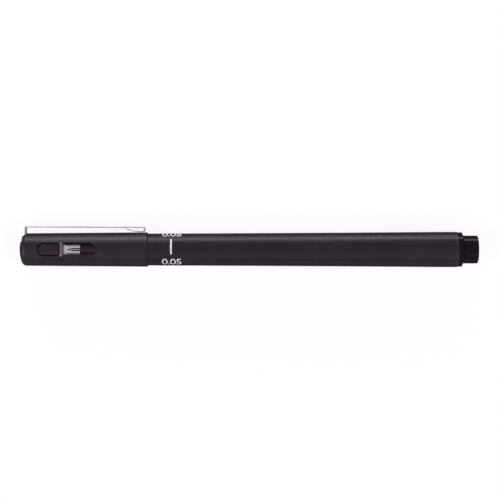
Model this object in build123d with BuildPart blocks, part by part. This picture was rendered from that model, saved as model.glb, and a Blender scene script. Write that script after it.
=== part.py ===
from build123d import *
import os

# A capped fineliner pen: a snap cap with a steel pocket clip and a window over the nib, a tapered barrel
# with a fibre ink reservoir inside, and a tail post that the cap can be put on.
# Stations are distances along the pen from the top of the crown. Radii are from the pen's axis.
# The pen lies along X on Z = 0, which its barrel's widest ring touches, with the clip towards +Y and a
# window on top.

os.makedirs("parts", exist_ok=True)

# Overall sizes, in millimetres
pen_length = 142.0
cap_length = 39.7
cap_mouth_radius = 5.33
cap_taper = 0.3
barrel_step = 0.38
barrel_swell = 0.51

# Gaps and small shared sizes
fit_gap = 0.02
slide_gap = 0.15
mouth_gap = 0.15
edge_round = 0.2
edge_break = 0.1
overrun = 1.0

# Cap shell
cap_wall = 0.88
cup_bore_step = 0.34
snap_depth = 0.09
snap_length = 1.0
snap_place_share = 0.55
window_start = 5.9
window_length = 18.1
window_width = 4.16
window_corner = 2.0

# Crown
crown_height = 1.15
crown_round = 1.65
crown_rim_length = 1.55
crown_step_depth = 0.95
crown_step_share = 0.48
clip_step_share = 0.84
lug_gap = 0.4
lug_sink = 0.12
split_width = 1.2
split_land = 2.0

# Clear cup that seals the nib
cup_start = 12.8
cup_end_wall = 0.62
cup_skirt = 1.0
cup_skirt_wall = 0.85
cup_bore_margin = 1.0
cup_gap = 0.2
cup_nose_gap = 0.3
cup_floor_round = 0.4
pad_gap = 0.05
pad_sink = 0.06
seal_height = 0.15
seal_length = 0.3
seal_place_share = 0.5

# Nib, sleeve and holder
nib_clearance = 1.38
nib_point_length = 1.0
nib_point_radius = 0.15
nib_radius = 0.3
nib_soak = 12.0
sleeve_radius = 0.5
sleeve_taper = 0.4
sleeve_root = 4.0
nose_reach = 4.0
nose_tip_radius = 1.6
nose_tip_length = 2.2
nose_collar_radius = 1.85
nose_collar_length = 3.4
nose_cone_length = 2.2
nose_cone_step = 0.4
holder_lip = 0.4
holder_spigot = 11.0
holder_flutes = 3
holder_flute_radius = 0.35
holder_flute_land = 1.0

# Grip section
section_taper = 4.9
section_wall = 0.9
section_web = 1.5
section_spigot = 7.0
vent_count = 2
vent_width = 0.8
vent_depth = 0.35
vent_land = 1.0

# Barrel
barrel_wall = 0.95
barrel_straight = 5.3
barrel_middle_share = 0.39
barrel_tail_round = 0.4
rib_count = 6
rib_height = 0.25
rib_width = 0.7
rib_root_share = 0.5

# Reservoir
film_thickness = 0.1
film_inset = 0.6
reservoir_gap = 0.35

# Tail plug
flange_inset = 0.12
flange_length = 1.1
flange_slope = 0.5
post_length = 4.5
post_gap = 0.12
post_round = 0.4
plug_spigot = 6.5
plug_wall = 0.95
plug_end_wall = 1.3
plug_rib_planes = 2
plug_rib_width = 0.8
plug_rib_reach = 0.8
plug_rib_root_share = 0.5

# Clip
clip_thickness = 0.4
clip_width = 3.4
clip_station = 1.75
clip_root_depth = 2.2
clip_pocket_gap = 0.12
clip_heel_rise = 2.06
clip_heel_bend = 0.6
clip_toe_rise = 1.57
clip_toe_inset = 0.8
clip_toe_bend = 0.5
clip_foot_gap = 0.12
clip_foot_flat = 1.6
clip_foot_length = 5.5
clip_edge_round = 0.1

# Stations and radii that follow from them
cap_crown_radius = cap_mouth_radius - cap_taper
barrel_front_radius = cap_mouth_radius - barrel_step
barrel_tail_radius = barrel_front_radius + barrel_swell
cap_bore_radius = cap_mouth_radius - cap_wall
cup_bore_radius = cap_bore_radius - cup_bore_step
cup_radius = cup_bore_radius - fit_gap
section_front_radius = cup_radius - cup_skirt_wall - cup_gap
nose_cone_radius = section_front_radius - nose_cone_step
holder_radius = nose_cone_radius - holder_lip
shell_start = crown_height + crown_rim_length
window_middle = window_start + window_length / 2
window_end = window_start + window_length
chamber_start = cup_start + cup_end_wall
nib_tip = chamber_start + nib_clearance
nib_shoulder = nib_tip + nib_point_length
nib_bore_radius = nib_radius + fit_gap
nose_front = nib_tip + nose_reach
nose_step = nose_front + nose_tip_length
nose_cone_start = nose_step + nose_collar_length
sleeve_end = nose_front + sleeve_root
sleeve_bore_radius = sleeve_radius + fit_gap
section_front = nose_cone_start + nose_cone_length
cup_end = section_front + cup_skirt
cup_bore_end = cup_end + cup_bore_margin
grip_start = section_front + section_taper
grip_radius = cap_bore_radius - slide_gap
barrel_front = cap_length + mouth_gap
snap_station = grip_start + (barrel_front - grip_start) * snap_place_share
section_end = barrel_front + section_spigot
holder_end = section_front + holder_spigot
barrel_end = pen_length - post_length - flange_slope - flange_length
barrel_front_bore = barrel_front_radius - barrel_wall
barrel_tail_bore = barrel_tail_radius - barrel_wall
spigot_radius = barrel_front_bore - fit_gap
rib_radius = barrel_front_bore - rib_height
film_radius = rib_radius - fit_gap
film_bore_radius = film_radius - film_thickness
reservoir_radius = film_bore_radius - fit_gap
post_radius = cap_bore_radius - post_gap
plug_bore_radius = post_radius - plug_wall
plug_front = barrel_end - plug_spigot
plug_back = pen_length - plug_end_wall
plug_rib_front = plug_front - plug_rib_reach
reservoir_start = section_end + reservoir_gap
reservoir_end = plug_rib_front - reservoir_gap
nib_end = reservoir_start + nib_soak
heel_height = cap_crown_radius + clip_heel_rise
clip_top_height = heel_height + clip_thickness / 2

# The pen's axis, and the level plane through it and the clip: X is the station, Y the height off the axis
crown_point = (-pen_length / 2, (barrel_tail_radius - clip_top_height) / 2, barrel_tail_radius)
pen_axis = Axis(crown_point, (1, 0, 0))
clip_plane = Plane(crown_point, x_dir=(1, 0, 0), z_dir=(0, 0, 1))
end_plane = Plane(crown_point, x_dir=(0, 0, 1), z_dir=(1, 0, 0))


def cap_radius(station):
    """The cap's outer radius at a station, on its straight taper."""
    share = (station - crown_height) / (cap_length - crown_height)
    return cap_crown_radius + (cap_mouth_radius - cap_crown_radius) * share


def outline(*points, turn=0):
    """A closed face of straight runs between (station, height) points, turned round the pen's axis."""
    with BuildSketch(clip_plane.rotated((turn, 0, 0))) as face:
        with BuildLine():
            Polyline(*points, close=True)
        make_face()
    return face.sketch


def window_outline(gap):
    """The window's rounded outline, drawn in by a gap all round."""
    with BuildSketch(clip_plane) as face:
        with Locations((window_middle, 0)):
            RectangleRounded(window_length - 2 * gap, window_width - 2 * gap, window_corner - gap)
    return face.sketch


def window_filler(start, end, gap, sink):
    """A solid across the cap that fills both windows from one station to another."""
    start_radius = cap_radius(start) - sink
    end_radius = cap_radius(end) - sink
    with BuildPart() as filler:
        revolve(outline((start, 0), (start, start_radius), (end, end_radius), (end, 0)), axis=pen_axis)
        extrude(window_outline(gap), amount=cap_mouth_radius, both=True, mode=Mode.INTERSECT)
    return filler.part


# Cap shell: a tapered tube, wider inside towards the mouth, with a window through each side
snap_groove = outline(
    (snap_station - snap_length, cap_bore_radius),
    (snap_station, cap_bore_radius + snap_depth),
    (snap_station + snap_length, cap_bore_radius),
)
with BuildPart() as cap_shell:
    with BuildSketch(clip_plane) as shell_face:
        with BuildLine():
            Polyline(
                (shell_start, cup_bore_radius),
                (shell_start, cap_radius(shell_start)),
                (cap_length, cap_mouth_radius),
                (cap_length, cap_bore_radius),
                (cup_bore_end, cap_bore_radius),
                (cup_bore_end, cup_bore_radius),
                close=True,
            )
        make_face()
        fillet(shell_face.vertices().group_by(Axis.X)[-1], edge_round)
    revolve(axis=pen_axis)
    revolve(snap_groove, axis=pen_axis, mode=Mode.SUBTRACT)
    extrude(window_outline(0), amount=cap_mouth_radius + overrun, both=True, mode=Mode.SUBTRACT)
cap_shell.part.label = "cap_shell"
export_step(cap_shell.part, "parts/cap_shell.step")

# Crown: a domed end stepped back for the clip, and a split stem whose lugs snap into the windows
crown_step_height = cap_crown_radius * crown_step_share
clip_step_height = cap_crown_radius * clip_step_share
pocket_front = clip_station - clip_thickness / 2 - clip_pocket_gap
pocket_back = clip_station + clip_thickness / 2 + clip_pocket_gap
dome_radius = (cap_crown_radius**2 + crown_height**2) / (2 * crown_height)
dome_middle_height = cap_crown_radius / 2
dome_middle = (dome_radius - (dome_radius**2 - dome_middle_height**2) ** 0.5, dome_middle_height)
clip_root_height = cap_crown_radius - clip_root_depth
pocket_floor = clip_root_height - clip_pocket_gap
split_start = shell_start + split_land
split_end = cup_start + overrun
lugs = window_filler(window_start, cup_start, lug_gap, lug_sink)
dome_steps = outline(
    (-overrun, crown_step_height),
    (crown_step_depth, crown_step_height),
    (crown_step_depth, clip_step_height),
    (pocket_front, clip_step_height),
    (pocket_front, cap_mouth_radius),
    (-overrun, cap_mouth_radius),
)
clip_pocket = outline(
    (pocket_front, pocket_floor),
    (pocket_back, pocket_floor),
    (pocket_back, cap_mouth_radius),
    (pocket_front, cap_mouth_radius),
)
stem_split = outline(
    (split_start, -cap_mouth_radius),
    (split_end, -cap_mouth_radius),
    (split_end, cap_mouth_radius),
    (split_start, cap_mouth_radius),
)
with BuildPart() as cap_crown:
    with BuildSketch(clip_plane) as crown_face:
        with BuildLine():
            ThreePointArc((0, 0), dome_middle, (crown_height, cap_crown_radius))
            Polyline(
                (crown_height, cap_crown_radius),
                (shell_start, cap_radius(shell_start)),
                (shell_start, cup_radius),
                (cup_start, cup_radius),
                (cup_start, 0),
                (0, 0),
            )
        make_face()
        fillet(crown_face.vertices().group_by(Axis.X)[1], crown_round)
    revolve(axis=pen_axis)
    add(lugs)
    extrude(dome_steps, amount=cap_mouth_radius, both=True, mode=Mode.SUBTRACT)
    extrude(clip_pocket, amount=clip_width / 2 + clip_pocket_gap, both=True, mode=Mode.SUBTRACT)
    extrude(stem_split, amount=split_width / 2, both=True, mode=Mode.SUBTRACT)
cap_crown.part.label = "cap_crown"
export_step(cap_crown.part, "parts/cap_crown.step")

# Clear cup: closed just ahead of the nib, with pads that fill the windows and a bead round the section
chamber_radius = nose_cone_radius + cup_nose_gap
skirt_radius = section_front_radius + cup_gap
skirt_slope = (grip_radius - section_front_radius) / section_taper
seal_reach = cup_skirt * seal_place_share
pads = window_filler(cup_start, window_end, pad_gap, pad_sink)


def skirt_bore(reach):
    """The skirt's bore radius at a distance behind the section's front, beside the section's taper."""
    return skirt_radius + skirt_slope * reach


cup_body = outline((cup_start, 0), (cup_start, cup_radius), (cup_end, cup_radius), (cup_end, 0))
with BuildSketch(clip_plane) as cup_hollow:
    with BuildLine():
        Polyline(
            (chamber_start, 0),
            (chamber_start, chamber_radius),
            (section_front - cup_gap, chamber_radius),
            (section_front - cup_gap, skirt_radius),
            (section_front, skirt_radius),
            (section_front + seal_reach - seal_length, skirt_bore(seal_reach - seal_length)),
            (section_front + seal_reach, skirt_bore(seal_reach) - seal_height),
            (section_front + seal_reach + seal_length, skirt_bore(seal_reach + seal_length)),
            (cup_end, skirt_bore(cup_skirt)),
            (cup_end, 0),
            close=True,
        )
    make_face()
    fillet(cup_hollow.vertices().group_by(Axis.X)[0].sort_by(Axis.Y)[-1], cup_floor_round)
with BuildPart() as inner_cap:
    revolve(cup_body, axis=pen_axis)
    add(pads)
    revolve(cup_hollow.sketch, axis=pen_axis, mode=Mode.SUBTRACT)
inner_cap.part.label = "inner_cap"
export_step(inner_cap.part, "parts/inner_cap.step")

# Clip: one strip bent up from its root, along the cap, and folded under into a foot
toe_station = cap_length - clip_toe_inset - clip_thickness / 2
toe_height = cap_mouth_radius + clip_toe_rise
foot_station = toe_station - clip_foot_flat
foot_height = cap_radius(toe_station) + clip_foot_gap + clip_thickness / 2
tongue_station = toe_station - clip_foot_length
tongue_share = (tongue_station - clip_station) / (toe_station - clip_station)
arm_height = heel_height + (toe_height - heel_height) * tongue_share
tongue_height = arm_height - clip_thickness - clip_foot_gap
with BuildPart() as clip:
    with BuildSketch(clip_plane):
        with BuildLine():
            FilletPolyline(
                (clip_station, clip_root_height),
                (clip_station, heel_height),
                (toe_station, toe_height),
                (toe_station, foot_height),
                (foot_station, foot_height),
                radius=[clip_heel_bend, clip_toe_bend, clip_toe_bend],
            )
            TangentArc((foot_station, foot_height), (tongue_station, tongue_height), tangent=(-1, 0))
        trace(line_width=clip_thickness)
    extrude(amount=clip_width / 2, both=True)
    # Rounding the arm's four long edges carries on round every bend of the strip
    fillet(clip.faces().filter_by(Axis.Z).edges().sort_by(SortBy.LENGTH)[-4:], clip_edge_round)
clip.part.label = "clip"
export_step(clip.part, "parts/clip.step")

# Nib: a plastic point on a long rod that draws ink from the reservoir
with BuildPart() as nib_core:
    nib_face = outline(
        (nib_tip, 0),
        (nib_tip, nib_point_radius),
        (nib_shoulder, nib_radius),
        (nib_end, nib_radius),
        (nib_end, 0),
    )
    revolve(nib_face, axis=pen_axis)
nib_core.part.label = "nib_core"
export_step(nib_core.part, "parts/nib_core.step")

# Steel sleeve round the nib
with BuildPart() as nib_sleeve:
    sleeve_face = outline(
        (nib_shoulder, nib_bore_radius),
        (nib_shoulder, nib_radius + edge_break),
        (nib_shoulder + sleeve_taper, sleeve_radius),
        (sleeve_end, sleeve_radius),
        (sleeve_end, nib_bore_radius),
    )
    revolve(sleeve_face, axis=pen_axis)
nib_sleeve.part.label = "nib_sleeve"
export_step(nib_sleeve.part, "parts/nib_sleeve.step")

# Holder: a stepped nose on a spigot with air flutes
with BuildPart() as nib_holder:
    with BuildSketch(clip_plane) as holder_face:
        with BuildLine():
            Polyline(
                (nose_front, sleeve_bore_radius),
                (nose_front, nose_tip_radius),
                (nose_step, nose_tip_radius),
                (nose_step, nose_collar_radius),
                (nose_cone_start, nose_collar_radius),
                (section_front, nose_cone_radius),
                (section_front, holder_radius - fit_gap),
                (holder_end, holder_radius - fit_gap),
                (holder_end, nib_bore_radius),
                (sleeve_end, nib_bore_radius),
                (sleeve_end, sleeve_bore_radius),
                close=True,
            )
        make_face()
        nose_edges = holder_face.vertices().group_by(Axis.X)[:2]
        fillet([edge.sort_by(Axis.Y)[-1] for edge in nose_edges], edge_round)
    revolve(axis=pen_axis)
    with BuildSketch(end_plane.offset(section_front + holder_flute_land)):
        with PolarLocations(holder_radius, holder_flutes):
            Circle(holder_flute_radius)
    extrude(amount=holder_spigot, mode=Mode.SUBTRACT)
nib_holder.part.label = "nib_holder"
export_step(nib_holder.part, "parts/nib_holder.step")

# Grip section: tapered front, straight grip with the snap bead, and a vented spigot in the barrel
section_bore_radius = spigot_radius - section_wall
section_bore_start = holder_end + section_web
with BuildPart() as grip_section:
    with BuildSketch(clip_plane) as section_face:
        with BuildLine():
            Polyline(
                (section_front, holder_radius),
                (section_front, section_front_radius),
                (grip_start, grip_radius),
                (snap_station - snap_length, grip_radius),
                (snap_station, grip_radius + snap_depth),
                (snap_station + snap_length, grip_radius),
                (barrel_front, grip_radius),
                (barrel_front, spigot_radius),
                (section_end, spigot_radius),
                (section_end, section_bore_radius),
                (section_bore_start, section_bore_radius),
                (section_bore_start, holder_radius),
                close=True,
            )
        make_face()
        fillet(section_face.vertices().group_by(Axis.X)[0].sort_by(Axis.Y)[-1], edge_round)
    revolve(axis=pen_axis)
    with BuildSketch(end_plane.offset(barrel_front + vent_land)):
        with PolarLocations(spigot_radius, vent_count):
            Rectangle(2 * vent_depth, vent_width)
    extrude(amount=section_spigot, mode=Mode.SUBTRACT)
grip_section.part.label = "grip_section"
export_step(grip_section.part, "parts/grip_section.step")

# Barrel: a gently swelling tube with ribs inside that centre the reservoir
taper_end = barrel_end - barrel_straight
barrel_middle = (barrel_front + taper_end) / 2
bore_start = section_end + reservoir_gap
bore_end = plug_rib_front
rib_root = barrel_wall * rib_root_share
with BuildPart() as barrel:
    with BuildSketch(clip_plane) as barrel_face:
        with BuildLine():
            ThreePointArc(
                (barrel_front, barrel_front_radius),
                (barrel_middle, barrel_front_radius + barrel_swell * barrel_middle_share),
                (taper_end, barrel_tail_radius),
            )
            Polyline(
                (taper_end, barrel_tail_radius),
                (barrel_end, barrel_tail_radius),
                (barrel_end, barrel_tail_bore),
                (bore_end, barrel_tail_bore),
                (bore_start, barrel_front_bore),
                (barrel_front, barrel_front_bore),
                (barrel_front, barrel_front_radius),
            )
        make_face()
        fillet(barrel_face.vertices().group_by(Axis.X)[0].sort_by(Axis.Y)[-1], edge_break)
        fillet(barrel_face.vertices().group_by(Axis.X)[-1].sort_by(Axis.Y)[-1], barrel_tail_round)
    revolve(axis=pen_axis)
    for rib in range(rib_count):
        rib_face = outline(
            (bore_start, rib_radius),
            (bore_end, rib_radius),
            (bore_end, barrel_tail_bore + rib_root),
            (bore_start, barrel_front_bore + rib_root),
            turn=rib * 360 / rib_count,
        )
        extrude(rib_face, amount=rib_width / 2, both=True)
barrel.part.label = "barrel"
export_step(barrel.part, "parts/barrel.step")

# Ink reservoir: a fibre rod pierced by the nib
with BuildPart() as ink_reservoir:
    reservoir_face = outline(
        (reservoir_start, nib_bore_radius),
        (reservoir_start, reservoir_radius),
        (reservoir_end, reservoir_radius),
        (reservoir_end, 0),
        (nib_end + fit_gap, 0),
        (nib_end + fit_gap, nib_bore_radius),
    )
    revolve(reservoir_face, axis=pen_axis)
ink_reservoir.part.label = "ink_reservoir"
export_step(ink_reservoir.part, "parts/ink_reservoir.step")

# Film wrapped round the reservoir
with BuildPart() as reservoir_film:
    film_face = outline(
        (reservoir_start + film_inset, film_bore_radius),
        (reservoir_start + film_inset, film_radius),
        (reservoir_end - film_inset, film_radius),
        (reservoir_end - film_inset, film_bore_radius),
    )
    revolve(film_face, axis=pen_axis)
reservoir_film.part.label = "reservoir_film"
export_step(reservoir_film.part, "parts/reservoir_film.step")

# Tail plug: a flange against the barrel's end, a post for the cap, and crossed ribs behind the reservoir
flange_radius = barrel_tail_radius - flange_inset
flange_end = barrel_end + flange_length
plug_rib_radius = plug_bore_radius + plug_wall * plug_rib_root_share
with BuildPart() as tail_plug:
    with BuildSketch(clip_plane) as plug_face:
        with BuildLine():
            Polyline(
                (plug_front, plug_bore_radius),
                (plug_front, barrel_tail_bore - fit_gap),
                (barrel_end, barrel_tail_bore - fit_gap),
                (barrel_end, flange_radius),
                (flange_end, flange_radius),
                (flange_end + flange_slope, post_radius),
                (pen_length, post_radius),
                (pen_length, 0),
                (plug_back, 0),
                (plug_back, plug_bore_radius),
                close=True,
            )
        make_face()
        fillet(plug_face.vertices().group_by(Axis.X)[-1].sort_by(Axis.Y)[-1], post_round)
    revolve(axis=pen_axis)
    for rib in range(plug_rib_planes):
        rib_face = outline(
            (plug_rib_front, -plug_rib_radius),
            (plug_back, -plug_rib_radius),
            (plug_back, plug_rib_radius),
            (plug_rib_front, plug_rib_radius),
            turn=rib * 180 / plug_rib_planes,
        )
        extrude(rib_face, amount=plug_rib_width / 2, both=True)
tail_plug.part.label = "tail_plug"
export_step(tail_plug.part, "parts/tail_plug.step")
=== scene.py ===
import math

import bmesh
import bpy
import numpy
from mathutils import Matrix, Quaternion, Vector


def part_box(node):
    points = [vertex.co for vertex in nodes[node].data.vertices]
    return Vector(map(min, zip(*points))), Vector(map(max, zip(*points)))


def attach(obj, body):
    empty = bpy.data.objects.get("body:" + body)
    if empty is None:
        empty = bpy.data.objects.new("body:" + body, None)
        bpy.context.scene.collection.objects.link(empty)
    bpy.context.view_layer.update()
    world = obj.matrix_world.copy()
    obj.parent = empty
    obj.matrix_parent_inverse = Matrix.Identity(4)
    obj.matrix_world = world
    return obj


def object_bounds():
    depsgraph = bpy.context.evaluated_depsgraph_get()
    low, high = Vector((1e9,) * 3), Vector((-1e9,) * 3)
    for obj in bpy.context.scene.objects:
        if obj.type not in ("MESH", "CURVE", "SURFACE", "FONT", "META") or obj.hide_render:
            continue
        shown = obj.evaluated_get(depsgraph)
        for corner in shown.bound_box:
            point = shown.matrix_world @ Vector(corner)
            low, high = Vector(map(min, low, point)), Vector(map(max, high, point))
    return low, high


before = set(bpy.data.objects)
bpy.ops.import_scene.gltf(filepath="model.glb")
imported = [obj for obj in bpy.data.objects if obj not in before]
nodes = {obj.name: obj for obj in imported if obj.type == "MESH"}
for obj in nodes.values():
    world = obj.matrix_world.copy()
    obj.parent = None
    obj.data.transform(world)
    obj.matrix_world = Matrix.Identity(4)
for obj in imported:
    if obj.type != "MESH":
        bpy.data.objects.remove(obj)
cad_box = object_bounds()
scene = bpy.context.scene

# Places on the pen, in metres, read from its own solids
MM = 0.001
barrel_low, barrel_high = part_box("barrel")
AXIS_Y = (barrel_low.y + barrel_high.y) / 2
AXIS_Z = (barrel_low.z + barrel_high.z) / 2
CROWN_END = cad_box[0].x
TAIL_END = cad_box[1].x
CAP_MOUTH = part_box("cap_shell")[1].x
CUP_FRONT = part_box("inner_cap")[0].x
NIB_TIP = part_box("nib_core")[0].x
BARREL_FRONT = barrel_low.x
BARREL_END = barrel_high.x


def station(millimetres):
    """The place along the pen at a distance from the top of its crown."""
    return CROWN_END + millimetres * MM


# Rings that hands, pockets and the cap rub pale, and their half width; the ring at the crown rim and the
# one just in from the barrel's end are also a painted highlight where those rims catch light
CAP_RUBS_AND_RIM_SHEEN = (CAP_MOUTH, station(1.5))
# The ring just in from the barrel's end is partly wear and partly a painted highlight on its rounded end
BARREL_RUBS_AND_END_SHEEN = (BARREL_FRONT, BARREL_END - 0.8 * MM)
PLUG_RUBS = (TAIL_END, BARREL_END + 1.1 * MM)
RUB_WIDTH = 0.45 * MM

# Depths of the fine relief on each finish
MOULDED_RELIEF = 0.02 * MM
STEEL_RELIEF = 0.008 * MM
POINT_RELIEF = 0.01 * MM
FIBRE_RELIEF = 0.05 * MM
FILM_RELIEF = 0.04 * MM
INK_RELIEF = 0.008 * MM

# Where the clear cup is smoky, from its closed end, and where painted shade darkens its two sides, from its
# axis
SMOKE_FULL = 0.5 * MM
SMOKE_GONE = 1.3 * MM
SIDE_SHADE_START = 1.28 * MM
SIDE_SHADE_FULL = 1.42 * MM

# How far back from its tip the point is wettest with ink
INK_WET_LENGTH = 0.9 * MM

# What the materials give to the shared effects, as noise scales
PLASTIC_GRAIN = 7000.0
PLASTIC_CLOUDS = 160.0
PLASTIC_SMEARS = 90.0
STEEL_LINES = 9000.0
STEEL_SMEARS = 260.0

# Shares that the effects and finishes mix, and what lines, wear and smears do to roughness
FINE_GRAIN_SHARE = 0.7
COARSE_GRAIN_SHARE = 0.3
COARSE_SCALE_SHARE = 0.22
SCUFF_SHARE = 0.35
RUB_SHARE = 0.6
WEAR_POLISH = 0.08
STEEL_LINE_SHARE = 0.6
STEEL_PATCH_SHARE = 0.4
STEEL_SWING = 0.07
STEEL_SMEAR_DULLING = 0.06
STRAND_SHARE = 0.4

# Refraction of the dark mouldings and of the clear cup
MOULDING_IOR = 1.5
CUP_IOR = 1.49

# Colours, linear
CHARCOAL_DEEP = (0.0195, 0.0112, 0.0185, 1.0)
CHARCOAL_PALE = (0.0255, 0.0158, 0.0245, 1.0)
# Pale worn charcoal, which at the crown rim and the barrel's end is also a painted highlight
CHARCOAL_RUBBED_AND_SHEEN = (0.055, 0.046, 0.054, 1.0)
BLACK_DEEP = (0.0115, 0.0058, 0.0108, 1.0)
BLACK_PALE = (0.015, 0.008, 0.0142, 1.0)
BLACK_RUBBED = (0.02, 0.0135, 0.019, 1.0)
NOSE_DEEP = (0.026, 0.0135, 0.0245, 1.0)
NOSE_PALE = (0.033, 0.018, 0.031, 1.0)
CLIP_DULL = (0.8, 0.79, 0.795, 1.0)
CLIP_BRIGHT = (0.93, 0.92, 0.925, 1.0)
SLEEVE_DULL = (0.78, 0.775, 0.78, 1.0)
SLEEVE_BRIGHT = (0.92, 0.915, 0.92, 1.0)
CUP_CLEAR = (0.77, 0.755, 0.765, 1.0)
CUP_HAZY = (0.7, 0.68, 0.695, 1.0)
# Painted shade on the clear cup's two sides, off its axis
CUP_SIDE_SHADE = (0.26, 0.2, 0.25, 1.0)
CUP_SMOKY = (0.81, 0.69, 0.8, 1.0)
CUP_GLEAM = (0.85, 0.55, 0.83, 1.0)
POINT_DRY = (0.045, 0.042, 0.045, 1.0)
POINT_WET = (0.008, 0.007, 0.009, 1.0)
FIBRE_SOAKED = (0.012, 0.011, 0.014, 1.0)
FIBRE_DAMP = (0.03, 0.028, 0.033, 1.0)
FIBRE_STRAND = (0.06, 0.056, 0.062, 1.0)
FILM_FOLD = (0.6, 0.6, 0.62, 1.0)
FILM_FLAT = (0.78, 0.78, 0.79, 1.0)
PRINT_THIN = (0.8, 0.795, 0.81, 1.0)
PRINT_FULL = (0.96, 0.955, 0.965, 1.0)


# Helpers for shader nodes

# A Mix node names its sockets alike for every kind of data, so its colours go by place
MIX_FIRST = 6
MIX_SECOND = 7
MIX_RESULT = 2


def add_node(tree, kind, **settings):
    node = tree.nodes.new(kind)
    for name, value in settings.items():
        setattr(node, name, value)
    return node


def feed(tree, socket, value):
    """Links an output to a socket, or sets the socket to a plain value."""
    if isinstance(value, bpy.types.NodeSocket):
        tree.links.new(value, socket)
    else:
        socket.default_value = value


def math_node(tree, operation, first, second=0.0, clamp=False):
    node = add_node(tree, "ShaderNodeMath", operation=operation, use_clamp=clamp)
    feed(tree, node.inputs[0], first)
    feed(tree, node.inputs[1], second)
    return node.outputs[0]


def scaled(tree, value, share):
    return math_node(tree, "MULTIPLY", value, share)


def remap(tree, value, low, high, to_low=0.0, to_high=1.0):
    """Carries a value from one range to another, clamped to the new one."""
    node = add_node(tree, "ShaderNodeMapRange")
    for socket, number in zip(node.inputs, (value, low, high, to_low, to_high)):
        feed(tree, socket, number)
    return node.outputs["Result"]


def mix_colours(tree, share, first, second):
    node = add_node(tree, "ShaderNodeMix", data_type="RGBA")
    feed(tree, node.inputs["Factor"], share)
    feed(tree, node.inputs[MIX_FIRST], first)
    feed(tree, node.inputs[MIX_SECOND], second)
    return node.outputs[MIX_RESULT]


def noise(tree, vector, scale, detail=2.0, roughness=0.5, distortion=0.0):
    node = add_node(tree, "ShaderNodeTexNoise")
    feed(tree, node.inputs["Vector"], vector)
    feed(tree, node.inputs["Scale"], scale)
    node.inputs["Detail"].default_value = detail
    node.inputs["Roughness"].default_value = roughness
    node.inputs["Distortion"].default_value = distortion
    return node.outputs["Fac"]


def drawn_out(tree, vector, along):
    """Coordinates shrunk along the pen, so that what is drawn on them is longer that way."""
    node = add_node(tree, "ShaderNodeMapping")
    feed(tree, node.inputs["Vector"], vector)
    node.inputs["Scale"].default_value = (along, 1.0, 1.0)
    return node.outputs["Vector"]


def parted(tree, vector):
    """The X, Y and Z of a vector."""
    node = add_node(tree, "ShaderNodeSeparateXYZ")
    feed(tree, node.inputs[0], vector)
    return node.outputs


def new_group(name, inputs, outputs):
    """A shader node group with a place on the surface and named values in, and named values out."""
    tree = bpy.data.node_groups.new(name, "ShaderNodeTree")
    tree.interface.new_socket("Vector", in_out="INPUT", socket_type="NodeSocketVector")
    for socket_name in inputs:
        tree.interface.new_socket(socket_name, in_out="INPUT", socket_type="NodeSocketFloat")
    for socket_name in outputs:
        tree.interface.new_socket(socket_name, in_out="OUTPUT", socket_type="NodeSocketFloat")
    start = add_node(tree, "NodeGroupInput")
    end = add_node(tree, "NodeGroupOutput")
    return tree, start.outputs, end.inputs


def use_group(tree, group, places, values):
    """Places a group in a material, with the material's own values, and gives what it puts out."""
    node = add_node(tree, "ShaderNodeGroup", node_tree=group)
    feed(tree, node.inputs["Vector"], places)
    for name, value in values.items():
        feed(tree, node.inputs[name], value)
    return node.outputs


# Effects that several finishes share

def make_moulded_grain():
    """Fine grain that a tool surface leaves on moulded plastic, and slow clouds in its colour."""
    tree, given, result = new_group("moulded_grain", ["Grain scale", "Cloud scale"], ["Height", "Clouds"])
    coarse_scale = scaled(tree, given["Grain scale"], COARSE_SCALE_SHARE)
    fine = noise(tree, given["Vector"], given["Grain scale"], detail=3.0, roughness=0.6)
    coarse = noise(tree, given["Vector"], coarse_scale)
    height = math_node(tree, "ADD", scaled(tree, fine, FINE_GRAIN_SHARE),
                       scaled(tree, coarse, COARSE_GRAIN_SHARE))
    clouds = noise(tree, given["Vector"], given["Cloud scale"], detail=4.0, roughness=0.55)
    feed(tree, result["Height"], height)
    feed(tree, result["Clouds"], clouds)
    return tree


def make_handling():
    """Faint smears and fine scuffs from fingers and from lying among other pens."""
    tree, given, result = new_group("handling", ["Smear scale"], ["Smears", "Scuffs"])
    smear_places = drawn_out(tree, given["Vector"], along=0.5)
    smear = noise(tree, smear_places, given["Smear scale"], detail=5.0, roughness=0.6, distortion=0.8)
    scuff_places = drawn_out(tree, given["Vector"], along=0.12)
    hairs = noise(tree, scuff_places, scale=5200.0, distortion=0.4)
    patches = noise(tree, given["Vector"], scale=210.0)
    scuffs = math_node(tree, "MULTIPLY", remap(tree, hairs, low=0.63, high=0.72),
                       remap(tree, patches, low=0.48, high=0.62))
    feed(tree, result["Smears"], remap(tree, smear, low=0.46, high=0.66))
    feed(tree, result["Scuffs"], scuffs)
    return tree


def make_edge_rub():
    """A pale ring round the pen at one place along it, broken up as rubbing leaves it: wear, and at the
    crown rim and the barrel's end also a painted highlight.
    """
    tree, given, result = new_group("rub_and_sheen_ring", ["Place", "Width"], ["Rub"])
    along = parted(tree, given["Vector"])["X"]
    away = math_node(tree, "ABSOLUTE", math_node(tree, "SUBTRACT", along, given["Place"]))
    near = math_node(tree, "SUBTRACT", 1.0, math_node(tree, "DIVIDE", away, given["Width"]), clamp=True)
    flecks = noise(tree, given["Vector"], scale=1400.0, detail=4.0, roughness=0.65)
    broken = remap(tree, flecks, low=0.36, high=0.64, to_low=0.25)
    feed(tree, result["Rub"], math_node(tree, "MULTIPLY", near, broken, clamp=True))
    return tree


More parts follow.
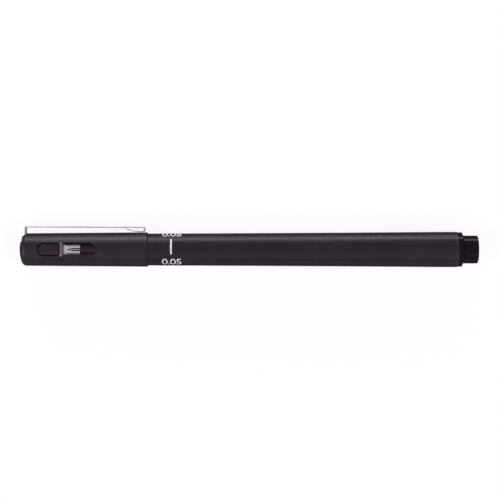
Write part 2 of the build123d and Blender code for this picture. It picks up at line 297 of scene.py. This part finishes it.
def make_drawn_lines():
    """Fine lines that rolling or drawing leaves along metal, with their slow variation."""
    tree, given, result = new_group("drawn_lines", ["Line scale"], ["Lines", "Patches"])
    line_places = drawn_out(tree, given["Vector"], along=0.012)
    lines = noise(tree, line_places, given["Line scale"], detail=3.0, roughness=0.6)
    patches = noise(tree, given["Vector"], scale=320.0, detail=3.0, roughness=0.6)
    feed(tree, result["Lines"], lines)
    feed(tree, result["Patches"], patches)
    return tree


moulded_grain = make_moulded_grain()
handling = make_handling()
rub_and_sheen_ring = make_edge_rub()
drawn_lines = make_drawn_lines()


# Finishes

def new_finish(name):
    material = bpy.data.materials.new(name)
    material.use_nodes = True
    tree = material.node_tree
    tree.nodes.clear()
    shader = add_node(tree, "ShaderNodeBsdfPrincipled")
    output = add_node(tree, "ShaderNodeOutputMaterial")
    tree.links.new(shader.outputs["BSDF"], output.inputs["Surface"])
    places = add_node(tree, "ShaderNodeTexCoord").outputs["Object"]
    return material, tree, shader.inputs, places


def bumped(tree, sockets, height, strength, depth):
    node = add_node(tree, "ShaderNodeBump")
    node.inputs["Strength"].default_value = strength
    node.inputs["Distance"].default_value = depth
    feed(tree, node.inputs["Height"], height)
    feed(tree, sockets["Normal"], node.outputs["Normal"])


def moulded_plastic(name, deep, pale, rubbed, roughness, swing, specular, grain_strength, rub_and_sheen_places=()):
    """Moulded plastic with grain, clouds, handling marks and rubbed rings at its edges, some of which are
    also a painted highlight.
    """
    material, tree, sockets, places = new_finish(name)
    grain = use_group(tree, moulded_grain, places,
                      {"Grain scale": PLASTIC_GRAIN, "Cloud scale": PLASTIC_CLOUDS})
    marks = use_group(tree, handling, places, {"Smear scale": PLASTIC_SMEARS})
    colour = mix_colours(tree, remap(tree, grain["Clouds"], low=0.3, high=0.7), deep, pale)
    wear = scaled(tree, marks["Scuffs"], SCUFF_SHARE)
    # Each ring is wear, and at the crown rim and the barrel's end also a painted highlight
    for place in rub_and_sheen_places:
        ring = use_group(tree, rub_and_sheen_ring, places, {"Place": place, "Width": RUB_WIDTH})["Rub"]
        wear = math_node(tree, "MAXIMUM", wear, scaled(tree, ring, RUB_SHARE))
    feed(tree, sockets["Base Color"], mix_colours(tree, wear, colour, rubbed))
    gloss = remap(tree, grain["Height"], low=0.3, high=0.7,
                  to_low=roughness - swing, to_high=roughness + swing)
    gloss = math_node(tree, "SUBTRACT", gloss, scaled(tree, marks["Smears"], swing))
    feed(tree, sockets["Roughness"], math_node(tree, "SUBTRACT", gloss, scaled(tree, wear, WEAR_POLISH)))
    bumped(tree, sockets, grain["Height"], grain_strength, MOULDED_RELIEF)
    sockets["IOR"].default_value = MOULDING_IOR
    sockets["Specular IOR Level"].default_value = specular
    return material


def drawn_metal(name, dull, bright, roughness, line_strength):
    """Steel with the lines of its rolling or drawing along the pen."""
    material, tree, sockets, places = new_finish(name)
    lines = use_group(tree, drawn_lines, places, {"Line scale": STEEL_LINES})
    marks = use_group(tree, handling, places, {"Smear scale": STEEL_SMEARS})
    tone = math_node(tree, "ADD", scaled(tree, lines["Lines"], STEEL_LINE_SHARE),
                     scaled(tree, lines["Patches"], STEEL_PATCH_SHARE))
    feed(tree, sockets["Base Color"], mix_colours(tree, remap(tree, tone, low=0.3, high=0.7), dull, bright))
    gloss = remap(tree, lines["Lines"], low=0.25, high=0.75,
                  to_low=roughness - STEEL_SWING, to_high=roughness + STEEL_SWING)
    dulled = scaled(tree, marks["Smears"], STEEL_SMEAR_DULLING)
    feed(tree, sockets["Roughness"], math_node(tree, "ADD", gloss, dulled))
    sockets["Metallic"].default_value = 1.0
    bumped(tree, sockets, lines["Lines"], line_strength, STEEL_RELIEF)
    return material


def clear_cup_plastic():
    """Clear moulded plastic with faint waves, smoky in its thick end, with painted shade darkening its two
    sides off its axis.
    """
    material, tree, sockets, places = new_finish("clear_cup_plastic")
    waves = noise(tree, drawn_out(tree, places, along=0.4), scale=420.0)
    haze = noise(tree, places, scale=900.0, detail=3.0)
    spot = parted(tree, places)
    smoke = remap(tree, spot["X"], CUP_FRONT + SMOKE_FULL, CUP_FRONT + SMOKE_GONE, to_low=1.0, to_high=0.0)
    # Painted shade: the cup's sides darken with distance from its axis
    aside = math_node(tree, "ABSOLUTE", math_node(tree, "SUBTRACT", spot["Y"], AXIS_Y))
    side_shade = remap(tree, aside, SIDE_SHADE_START, SIDE_SHADE_FULL)
    walls = mix_colours(tree, side_shade, mix_colours(tree, haze, CUP_CLEAR, CUP_HAZY), CUP_SIDE_SHADE)
    feed(tree, sockets["Base Color"], mix_colours(tree, smoke, walls, CUP_SMOKY))
    feed(tree, sockets["Roughness"], remap(tree, haze, low=0.3, high=0.7, to_low=0.03, to_high=0.08))
    sockets["Transmission Weight"].default_value = 1.0
    sockets["IOR"].default_value = CUP_IOR
    sockets["Specular Tint"].default_value = CUP_GLEAM
    bumped(tree, sockets, waves, strength=0.1, depth=MOULDED_RELIEF)
    return material


def inked_point():
    """The extruded plastic point, wet with black ink towards its tip."""
    material, tree, sockets, places = new_finish("inked_point")
    along = parted(tree, places)["X"]
    soaked = remap(tree, along, NIB_TIP, NIB_TIP + INK_WET_LENGTH, to_low=1.0, to_high=0.35)
    specks = noise(tree, places, scale=9000.0, detail=3.0)
    wet = math_node(tree, "MULTIPLY", soaked, remap(tree, specks, low=0.2, high=0.6, to_low=0.7))
    feed(tree, sockets["Base Color"], mix_colours(tree, wet, POINT_DRY, POINT_WET))
    feed(tree, sockets["Roughness"], remap(tree, specks, low=0.3, high=0.7, to_low=0.22, to_high=0.45))
    bumped(tree, sockets, specks, strength=0.15, depth=POINT_RELIEF)
    return material


def inked_fibre():
    """Bundled fibre along the pen, soaked with black ink."""
    material, tree, sockets, places = new_finish("inked_fibre")
    strands = noise(tree, drawn_out(tree, places, along=0.02), scale=6500.0, detail=3.0, roughness=0.6)
    soak = noise(tree, drawn_out(tree, places, along=0.3), scale=300.0, detail=3.0)
    tone = mix_colours(tree, remap(tree, soak, low=0.35, high=0.65), FIBRE_SOAKED, FIBRE_DAMP)
    paler = scaled(tree, strands, STRAND_SHARE)
    feed(tree, sockets["Base Color"], mix_colours(tree, paler, tone, FIBRE_STRAND))
    feed(tree, sockets["Roughness"], remap(tree, strands, low=0.3, high=0.7, to_low=0.7, to_high=0.9))
    bumped(tree, sockets, strands, strength=0.5, depth=FIBRE_RELIEF)
    return material


def film_wrap():
    """Thin milky film, creased along the rod that it is wrapped round."""
    material, tree, sockets, places = new_finish("film_wrap")
    crease_places = drawn_out(tree, places, along=0.15)
    creases = noise(tree, crease_places, scale=900.0, detail=4.0, roughness=0.6, distortion=0.6)
    feed(tree, sockets["Base Color"], mix_colours(tree, creases, FILM_FOLD, FILM_FLAT))
    feed(tree, sockets["Roughness"], remap(tree, creases, low=0.3, high=0.7, to_low=0.2, to_high=0.4))
    bumped(tree, sockets, creases, strength=0.3, depth=FILM_RELIEF)
    return material


def number_ink():
    """White printing ink, a little thin where it bridges the grain."""
    material, tree, sockets, places = new_finish("number_ink")
    cover = noise(tree, places, scale=5200.0, detail=4.0, roughness=0.65)
    body = remap(tree, cover, low=0.3, high=0.62, to_low=0.35)
    feed(tree, sockets["Base Color"], mix_colours(tree, body, PRINT_THIN, PRINT_FULL))
    feed(tree, sockets["Roughness"], remap(tree, cover, low=0.3, high=0.7, to_low=0.38, to_high=0.55))
    bumped(tree, sockets, cover, strength=0.2, depth=INK_RELIEF)
    return material


satin_cap = moulded_plastic(
    "satin_cap_plastic", CHARCOAL_DEEP, CHARCOAL_PALE, CHARCOAL_RUBBED_AND_SHEEN,
    roughness=0.4, swing=0.05, specular=0.3, grain_strength=0.12, rub_and_sheen_places=CAP_RUBS_AND_RIM_SHEEN,
)
satin_barrel = moulded_plastic(
    "satin_barrel_plastic", CHARCOAL_DEEP, CHARCOAL_PALE, CHARCOAL_RUBBED_AND_SHEEN,
    roughness=0.4, swing=0.05, specular=0.25, grain_strength=0.12, rub_and_sheen_places=BARREL_RUBS_AND_END_SHEEN,
)
gloss_plug = moulded_plastic(
    "gloss_plug_plastic", BLACK_DEEP, BLACK_PALE, BLACK_RUBBED,
    roughness=0.2, swing=0.04, specular=0.09, grain_strength=0.05, rub_and_sheen_places=PLUG_RUBS,
)
gloss_nose = moulded_plastic(
    "gloss_nose_plastic", NOSE_DEEP, NOSE_PALE, BLACK_RUBBED,
    roughness=0.3, swing=0.04, specular=0.1, grain_strength=0.05,
)
clip_steel = drawn_metal(
    "rolled_clip_steel", CLIP_DULL, CLIP_BRIGHT, roughness=0.45, line_strength=0.12,
)
sleeve_steel = drawn_metal(
    "drawn_sleeve_steel", SLEEVE_DULL, SLEEVE_BRIGHT, roughness=0.24, line_strength=0.1,
)
FINISHES = {
    "barrel": satin_barrel,
    "cap_shell": satin_cap,
    "cap_crown": satin_cap,
    "tail_plug": gloss_plug,
    "grip_section": gloss_nose,
    "nib_holder": gloss_nose,
    "clip": clip_steel,
    "nib_sleeve": sleeve_steel,
    "inner_cap": clear_cup_plastic(),
    "nib_core": inked_point(),
    "ink_reservoir": inked_fibre(),
    "reservoir_film": film_wrap(),
}
for node_name, finish in FINISHES.items():
    nodes[node_name].data.materials.clear()
    nodes[node_name].data.materials.append(finish)


# Number print round the front of the barrel: angles are in degrees from the top, towards the clip
INK_TOP = 0.012 * MM
INK_DEPTH = 0.045 * MM
NUMBER_TEXT = "0.05"
NUMBER_PLACE = station(47.25)
NUMBER_WIDTH = 6.0 * MM
NUMBER_HEIGHT = 2.65 * MM
NUMBER_ANGLE = -50.2
NUMBER_SPACING = 0.905
NUMBER_CURVE_STEPS = 6
NUMBER_STRIPS = 12
NUMBER_MERGE_GAP = 1e-5
STRIP_CUT_GAP = 1e-8
BAR_PLACE = station(47.1)
BAR_WIDTH = 0.5 * MM
BAR_ANGLE = 11.5
BAR_SPAN = 56.8
BAR_STEPS = 24
REPEATS = 3
FULL_TURN = 360.0
BARREL_SKIN_SHARE = 0.88


def barrel_profile():
    """Places along the barrel and its outer radius there, read from its own mesh."""
    spots = numpy.empty(len(nodes["barrel"].data.vertices) * 3)
    nodes["barrel"].data.vertices.foreach_get("co", spots)
    spots = spots.reshape(-1, 3)
    radii = numpy.hypot(spots[:, 1] - AXIS_Y, spots[:, 2] - AXIS_Z)
    outer = radii > radii.max() * BARREL_SKIN_SHARE
    order = numpy.argsort(spots[outer, 0])
    return spots[outer, 0][order], radii[outer][order]


profile_places, profile_radii = barrel_profile()


def barrel_radius(place):
    return float(numpy.interp(place, profile_places, profile_radii))


def laid_on_barrel(bm, place, angle):
    """Bends a flat outline, with its middle at the origin, round the barrel at that place and angle."""
    for vert in bm.verts:
        along = place + vert.co.x
        radius = barrel_radius(along) + INK_TOP
        turn = math.radians(angle) + vert.co.y / radius
        vert.co = (along, AXIS_Y + radius * math.sin(turn), AXIS_Z + radius * math.cos(turn))


def number_outline():
    """The flat number, sized to its printed width and height, in strips that can bend."""
    text = bpy.data.curves.new("number_outline", "FONT")
    text.body = NUMBER_TEXT
    text.resolution_u = NUMBER_CURVE_STEPS
    text.space_character = NUMBER_SPACING
    holder = bpy.data.objects.new("number_outline", text)
    scene.collection.objects.link(holder)
    bpy.context.view_layer.update()
    flat = bpy.data.meshes.new_from_object(holder)
    bpy.data.objects.remove(holder)
    bpy.data.curves.remove(text)
    bm = bmesh.new()
    bm.from_mesh(flat)
    bpy.data.meshes.remove(flat)
    bmesh.ops.remove_doubles(bm, verts=bm.verts, dist=NUMBER_MERGE_GAP)
    low = Vector(min(v.co[i] for v in bm.verts) for i in range(3))
    high = Vector(max(v.co[i] for v in bm.verts) for i in range(3))
    size = high - low
    bmesh.ops.translate(bm, vec=-(low + high) / 2, verts=bm.verts)
    bmesh.ops.scale(bm, vec=(NUMBER_WIDTH / size.x, NUMBER_HEIGHT / size.y, 1.0), verts=bm.verts)
    for strip in range(1, NUMBER_STRIPS):
        height = NUMBER_HEIGHT * (strip / NUMBER_STRIPS - 0.5)
        bmesh.ops.bisect_plane(bm, geom=bm.verts[:] + bm.edges[:] + bm.faces[:], dist=STRIP_CUT_GAP,
                               plane_co=(0, height, 0), plane_no=(0, 1, 0))
    return bm


def bar_outline():
    """The flat bar that is printed between two numbers, in steps that can bend."""
    length = barrel_radius(BAR_PLACE) * math.radians(BAR_SPAN)
    bm = bmesh.new()
    bmesh.ops.create_grid(bm, x_segments=1, y_segments=BAR_STEPS, size=0.5)
    bmesh.ops.scale(bm, vec=(BAR_WIDTH, length, 1.0), verts=bm.verts)
    return bm


def add_to_print(bm, outline, place, angle):
    """Lays an outline on the barrel, face outwards, and joins it to the print."""
    for face in outline.faces:
        if face.normal.z < 0:
            face.normal_flip()
    laid_on_barrel(outline, place, angle)
    outline.normal_update()
    flat = bpy.data.meshes.new("outline")
    outline.to_mesh(flat)
    outline.free()
    bm.from_mesh(flat)
    bpy.data.meshes.remove(flat)


def make_number_print():
    """Numbers and bars in turn round the barrel, as one thin closed film of ink."""
    bm = bmesh.new()
    for repeat in range(REPEATS):
        turn = repeat * FULL_TURN / REPEATS
        add_to_print(bm, number_outline(), NUMBER_PLACE, NUMBER_ANGLE + turn)
        add_to_print(bm, bar_outline(), BAR_PLACE, BAR_ANGLE + turn)
    bmesh.ops.solidify(bm, geom=bm.faces[:], thickness=INK_DEPTH)
    mesh = bpy.data.meshes.new("number_print")
    bm.to_mesh(mesh)
    bm.free()
    mesh.materials.append(number_ink())
    piece = bpy.data.objects.new("number_print", mesh)
    scene.collection.objects.link(piece)
    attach(piece, "pen")


make_number_print()


# Floor, light and camera, in metres: brightnesses are radiances, and 1 shows as white
FLOOR_SIZE = 6.0
FLOOR_COLOUR = (0.15, 0.15, 0.15, 1.0)
FLOOR_LIFT = 0.88
FLOOR_MIRRORED = 0.6
# Painted shade on the floor round the pen, as gloss on the pen sees it: full within the first reach, gone
# past the second
FLOOR_DARK_REACH = 12.0 * MM
FLOOR_LIT_REACH = 45.0 * MM
AMBIENT = 0.25
SENSOR_WIDTH = 36.0
LENS = 115.99
CAMERA_SPOT = (0.4 * MM, -1.06 * MM, 505.42 * MM)
CAMERA_NEAR = 0.01


def any_of(tree, first, *others):
    """The largest of some masks."""
    value = first
    for other in others:
        value = math_node(tree, "MAXIMUM", value, other)
    return value


def off_the_pen(tree, places):
    """The distance on the floor from the line under the pen, all round it."""
    spot = parted(tree, places)
    past_end = math_node(tree, "SUBTRACT", math_node(tree, "ABSOLUTE", spot["X"]), TAIL_END)
    away = add_node(tree, "ShaderNodeCombineXYZ")
    feed(tree, away.inputs["X"], math_node(tree, "MAXIMUM", past_end, 0.0))
    feed(tree, away.inputs["Y"], spot["Y"])
    length = add_node(tree, "ShaderNodeVectorMath", operation="LENGTH")
    feed(tree, length.inputs[0], away.outputs[0])
    return length.outputs["Value"]


def floor_finish():
    """A matte floor lifted to white, which gloss on the pen mirrors dark close by and pale further off:
    painted shade round the pen, seen only in reflections.
    """
    material = bpy.data.materials.new("white_floor")
    material.use_nodes = True
    tree = material.node_tree
    tree.nodes.clear()
    matte = add_node(tree, "ShaderNodeBsdfDiffuse")
    matte.inputs["Color"].default_value = FLOOR_COLOUR
    lift = add_node(tree, "ShaderNodeEmission")
    rays = add_node(tree, "ShaderNodeLightPath").outputs
    distance = off_the_pen(tree, add_node(tree, "ShaderNodeTexCoord").outputs["Object"])
    # Painted shade: reflections see the floor dark near the pen and lifted further off
    beside = remap(tree, distance, FLOOR_DARK_REACH, FLOOR_LIT_REACH, to_high=FLOOR_MIRRORED)
    mirrored = math_node(tree, "MULTIPLY", rays["Is Glossy Ray"], beside)
    seen = any_of(tree, rays["Is Camera Ray"], mirrored, rays["Is Transmission Ray"])
    feed(tree, lift.inputs["Strength"], scaled(tree, seen, FLOOR_LIFT))
    both = add_node(tree, "ShaderNodeAddShader")
    tree.links.new(matte.outputs[0], both.inputs[0])
    tree.links.new(lift.outputs[0], both.inputs[1])
    output = add_node(tree, "ShaderNodeOutputMaterial")
    tree.links.new(both.outputs[0], output.inputs["Surface"])
    return material


def make_floor():
    bm = bmesh.new()
    bmesh.ops.create_grid(bm, x_segments=1, y_segments=1, size=FLOOR_SIZE / 2)
    mesh = bpy.data.meshes.new("floor")
    bm.to_mesh(mesh)
    bm.free()
    mesh.materials.append(floor_finish())
    floor = bpy.data.objects.new("floor", mesh)
    scene.collection.objects.link(floor)


def make_world():
    """A dim even room that shows as white to the camera and through the clear cup."""
    world = bpy.data.worlds.new("white_room")
    world.use_nodes = True
    tree = world.node_tree
    tree.nodes.clear()
    room = add_node(tree, "ShaderNodeBackground")
    rays = add_node(tree, "ShaderNodeLightPath").outputs
    seen = any_of(tree, rays["Is Camera Ray"], rays["Is Transmission Ray"])
    feed(tree, room.inputs["Strength"], remap(tree, seen, low=0.0, high=1.0, to_low=AMBIENT))
    output = add_node(tree, "ShaderNodeOutputWorld")
    tree.links.new(room.outputs[0], output.inputs["Surface"])
    scene.world = world


def softbox(name, spot, width, height, radiance, tilt=0.0):
    """A rectangular lamp of an even brightness, turned to the pen, with its crown end tilted up."""
    lamp = bpy.data.lights.new(name, "AREA")
    lamp.shape = "RECTANGLE"
    lamp.size = width
    lamp.size_y = height
    lamp.energy = radiance * math.pi * width * height
    holder = bpy.data.objects.new(name, lamp)
    aim = Vector((0.0, AXIS_Y, AXIS_Z)) - Vector(spot)
    turn = aim.to_track_quat("-Z", "Y") @ Quaternion((0.0, 0.0, 1.0), math.radians(tilt))
    holder.rotation_euler = turn.to_euler()
    holder.location = spot
    scene.collection.objects.link(holder)


def make_camera():
    """Straight above the pen, as far off as the perspective of its ends shows."""
    camera = bpy.data.cameras.new("camera")
    camera.sensor_width = SENSOR_WIDTH
    camera.lens = LENS
    camera.clip_start = CAMERA_NEAR
    holder = bpy.data.objects.new("camera", camera)
    holder.location = CAMERA_SPOT
    scene.collection.objects.link(holder)
    scene.camera = holder


make_floor()
make_world()
softbox("crown_side_softbox", spot=(-0.5, -0.15, 0.5), width=0.5, height=0.5, radiance=2.5)
softbox("tail_side_softbox", spot=(0.5, -0.15, 0.5), width=0.5, height=0.5, radiance=2.5)
softbox("clip_side_panel", spot=(0.0, 0.35, 0.054), width=0.42, height=0.08, radiance=9.5, tilt=16.0)
softbox("near_side_fill", spot=(0.0, -0.45, 0.4), width=0.8, height=0.35, radiance=0.7)
make_camera()
scene.view_settings.view_transform = "Standard"
